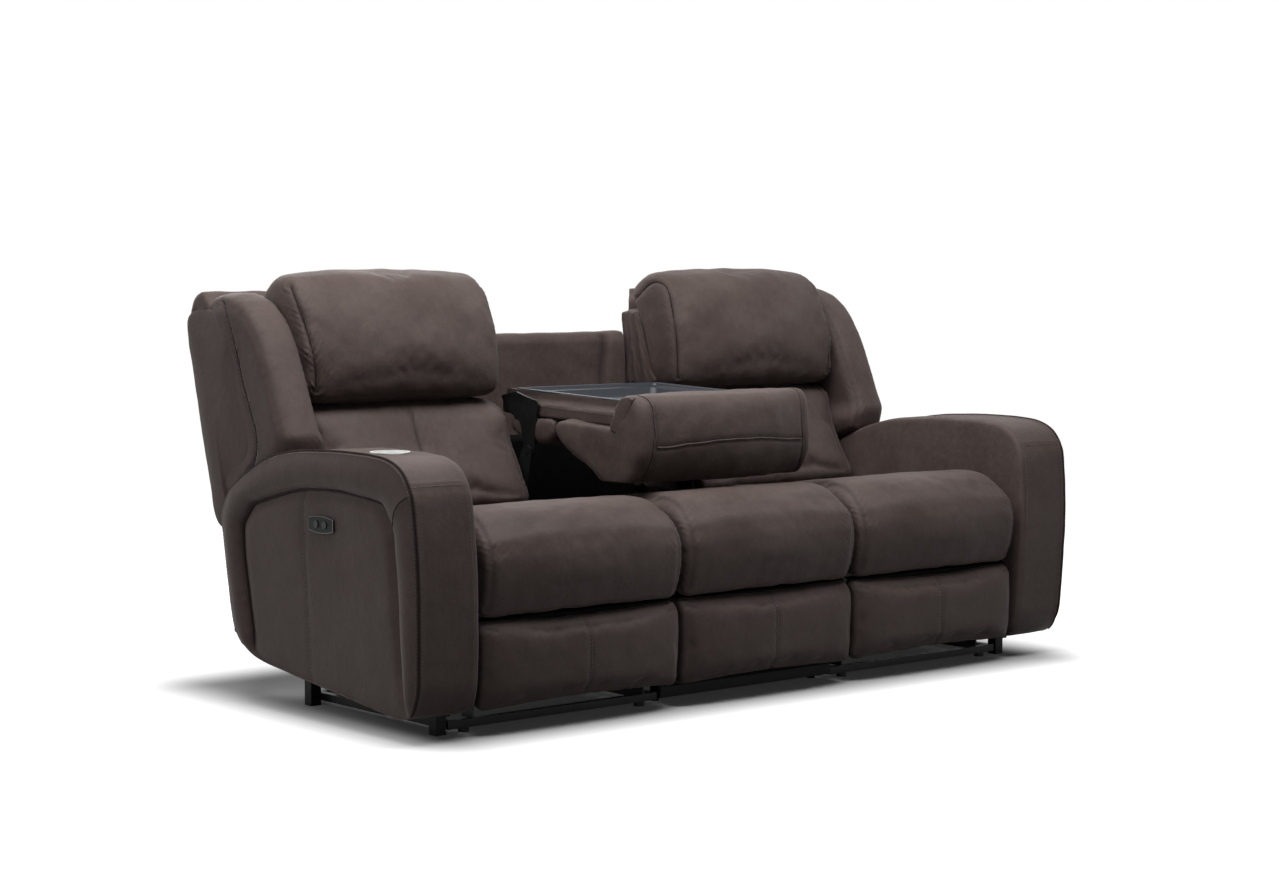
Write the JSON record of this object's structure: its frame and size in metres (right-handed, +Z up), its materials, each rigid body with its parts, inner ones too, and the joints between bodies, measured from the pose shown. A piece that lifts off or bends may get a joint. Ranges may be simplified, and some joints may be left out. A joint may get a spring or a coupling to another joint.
{
  "type": "reclining sofa with drop-down console",
  "caption": "Upholstered power sofa: outer seats recline and raise footrests, and the middle back folds down into a console with a tray.",
  "frame": {"origin": "on the floor, at the middle of the sofa's overall length and depth", "axes": "+Z up, front towards -Y, the sofa's left arm in the picture at -X"},
  "size_m": [2.1492, 1.0669, 1.0392],
  "materials": {
    "cover_leather": "dark brown matte pull-up leather cover with soft mottling",
    "frame_wood": "plain sawn plywood and lumber, hidden",
    "black_steel": "black powder coat",
    "bright_steel": "bright drawn stainless steel",
    "spring_wire": "bare spring wire",
    "tray_plastic": "dark blue-grey satin moulded plastic",
    "black_plastic": "black moulded plastic"
  },
  "bodies": {
    "base": {"left_arm_cover": "cover_leather", "left_seat_cushion": "cover_leather", "left_arm_frame": "frame_wood", "left_seat_frame": "frame_wood", "left_base_frame": "black_steel", "left_inner_side_plate": "black_steel", "left_outer_side_plate": "black_steel", "left_console_hinge_post": "black_steel", "left_arm_legs": "black_plastic", "left_switch_plate": "black_plastic", "left_actuator": "black_plastic", "left_seat_springs": "spring_wire", "right_arm_cover": "cover_leather", "right_seat_cushion": "cover_leather", "right_arm_frame": "frame_wood", "right_seat_frame": "frame_wood", "right_base_frame": "black_steel", "right_inner_side_plate": "black_steel", "right_outer_side_plate": "black_steel", "right_console_hinge_post": "black_steel", "right_arm_legs": "black_plastic", "right_switch_plate": "black_plastic", "right_actuator": "black_plastic", "right_seat_springs": "spring_wire", "middle_seat_cushion": "cover_leather", "middle_front_panel": "cover_leather", "rear_centre_panel": "cover_leather", "middle_seat_frame": "frame_wood", "kick_board": "black_plastic", "cup_holder": "bright_steel"},
    "left_back": {"left_back_frame": "frame_wood", "left_back_shell": "cover_leather", "left_back_cushion": "cover_leather", "left_wing": "cover_leather"},
    "left_head": {"left_headrest": "cover_leather"},
    "left_rear_linkage": {"left_rear_links": "black_steel"},
    "left_front_linkage": {"left_front_links": "black_steel"},
    "left_footrest": {"left_footrest_board": "frame_wood", "left_footrest_pad": "cover_leather"},
    "left_carriage": {"left_actuator_carriage": "black_steel"},
    "left_extend_key": {"left_extend_button": "black_plastic"},
    "left_return_key": {"left_return_button": "black_plastic"},
    "right_back": {"right_back_frame": "frame_wood", "right_back_shell": "cover_leather", "right_back_cushion": "cover_leather", "right_wing": "cover_leather"},
    "right_head": {"right_headrest": "cover_leather"},
    "right_rear_linkage": {"right_rear_links": "black_steel"},
    "right_front_linkage": {"right_front_links": "black_steel"},
    "right_footrest": {"right_footrest_board": "frame_wood", "right_footrest_pad": "cover_leather"},
    "right_carriage": {"right_actuator_carriage": "black_steel"},
    "right_extend_key": {"right_extend_button": "black_plastic"},
    "right_return_key": {"right_return_button": "black_plastic"},
    "console": {"console_frame": "cover_leather", "console_tray": "tray_plastic", "console_back_cushion": "cover_leather", "console_headrest": "cover_leather", "left_console_hinge_plate": "black_steel", "right_console_hinge_plate": "black_steel"}
  },
  "joints": [
    {"name": "left_back_recline", "type": "hinge", "parent": "base", "child": "left_back", "pos_m": [-0.5825, 0.1165, 0.25], "axis": [-1, 0, 0], "range_deg": [0, 35]},
    {"name": "left_headrest_tilt", "type": "hinge", "parent": "left_back", "child": "left_head", "pos_m": [-0.5825, 0.2185, 0.712], "axis": [1, 0, 0], "range_deg": [0, 28]},
    {"name": "left_footrest_lift", "type": "hinge", "parent": "base", "child": "left_rear_linkage", "pos_m": [-0.5825, -0.3735, 0.3], "axis": [-1, 0, 0], "range_deg": [0, 108]},
    {"name": "left_footrest_knee", "type": "hinge", "parent": "left_rear_linkage", "child": "left_front_linkage", "pos_m": [-0.5825, -0.1735, 0.15], "axis": [-1, 0, 0], "range_deg": [-60.6, 0]},
    {"name": "left_footrest_turn", "type": "hinge", "parent": "left_front_linkage", "child": "left_footrest", "pos_m": [-0.5825, -0.4195, 0.13], "axis": [-1, 0, 0], "range_deg": [0, 42.6]},
    {"name": "left_carriage_travel", "type": "slide", "parent": "base", "child": "left_carriage", "axis": [0, 1, 0], "range_m": [0, 0.1445]},
    {"name": "left_extend_press", "type": "slide", "parent": "base", "child": "left_extend_key", "axis": [1, 0, 0], "range_m": [0, 0.0015], "stiffness_N_per_m": 400},
    {"name": "left_return_press", "type": "slide", "parent": "base", "child": "left_return_key", "axis": [1, 0, 0], "range_m": [0, 0.0015], "stiffness_N_per_m": 400},
    {"name": "right_back_recline", "type": "hinge", "parent": "base", "child": "right_back", "pos_m": [0.5825, 0.1165, 0.25], "axis": [-1, 0, 0], "range_deg": [0, 35]},
    {"name": "right_headrest_tilt", "type": "hinge", "parent": "right_back", "child": "right_head", "pos_m": [0.5825, 0.2185, 0.712], "axis": [1, 0, 0], "range_deg": [0, 28]},
    {"name": "right_footrest_lift", "type": "hinge", "parent": "base", "child": "right_rear_linkage", "pos_m": [0.5825, -0.3735, 0.3], "axis": [-1, 0, 0], "range_deg": [0, 108]},
    {"name": "right_footrest_knee", "type": "hinge", "parent": "right_rear_linkage", "child": "right_front_linkage", "pos_m": [0.5825, -0.1735, 0.15], "axis": [-1, 0, 0], "range_deg": [-60.6, 0]},
    {"name": "right_footrest_turn", "type": "hinge", "parent": "right_front_linkage", "child": "right_footrest", "pos_m": [0.5825, -0.4195, 0.13], "axis": [-1, 0, 0], "range_deg": [0, 42.6]},
    {"name": "right_carriage_travel", "type": "slide", "parent": "base", "child": "right_carriage", "axis": [0, 1, 0], "range_m": [0, 0.1445]},
    {"name": "right_extend_press", "type": "slide", "parent": "base", "child": "right_extend_key", "axis": [-1, 0, 0], "range_m": [0, 0.0015], "stiffness_N_per_m": 400},
    {"name": "right_return_press", "type": "slide", "parent": "base", "child": "right_return_key", "axis": [-1, 0, 0], "range_m": [0, 0.0015], "stiffness_N_per_m": 400},
    {"name": "console_fold", "type": "hinge", "parent": "base", "child": "console", "pos_m": [0, 0.0965, 0.575], "axis": [-1, 0, 0], "range_deg": [0, 107]}
  ],
  "couplings": [
    {"joint": "left_footrest_knee", "follows": "left_footrest_lift", "ratio": -0.56},
    {"joint": "left_footrest_turn", "follows": "left_footrest_lift", "ratio": 0.3933},
    {"joint": "left_carriage_travel", "follows": "left_footrest_lift", "m_per_rad": 0.0763},
    {"joint": "right_footrest_knee", "follows": "right_footrest_lift", "ratio": -0.56},
    {"joint": "right_footrest_turn", "follows": "right_footrest_lift", "ratio": 0.3933},
    {"joint": "right_carriage_travel", "follows": "right_footrest_lift", "m_per_rad": 0.0763}
  ]
}
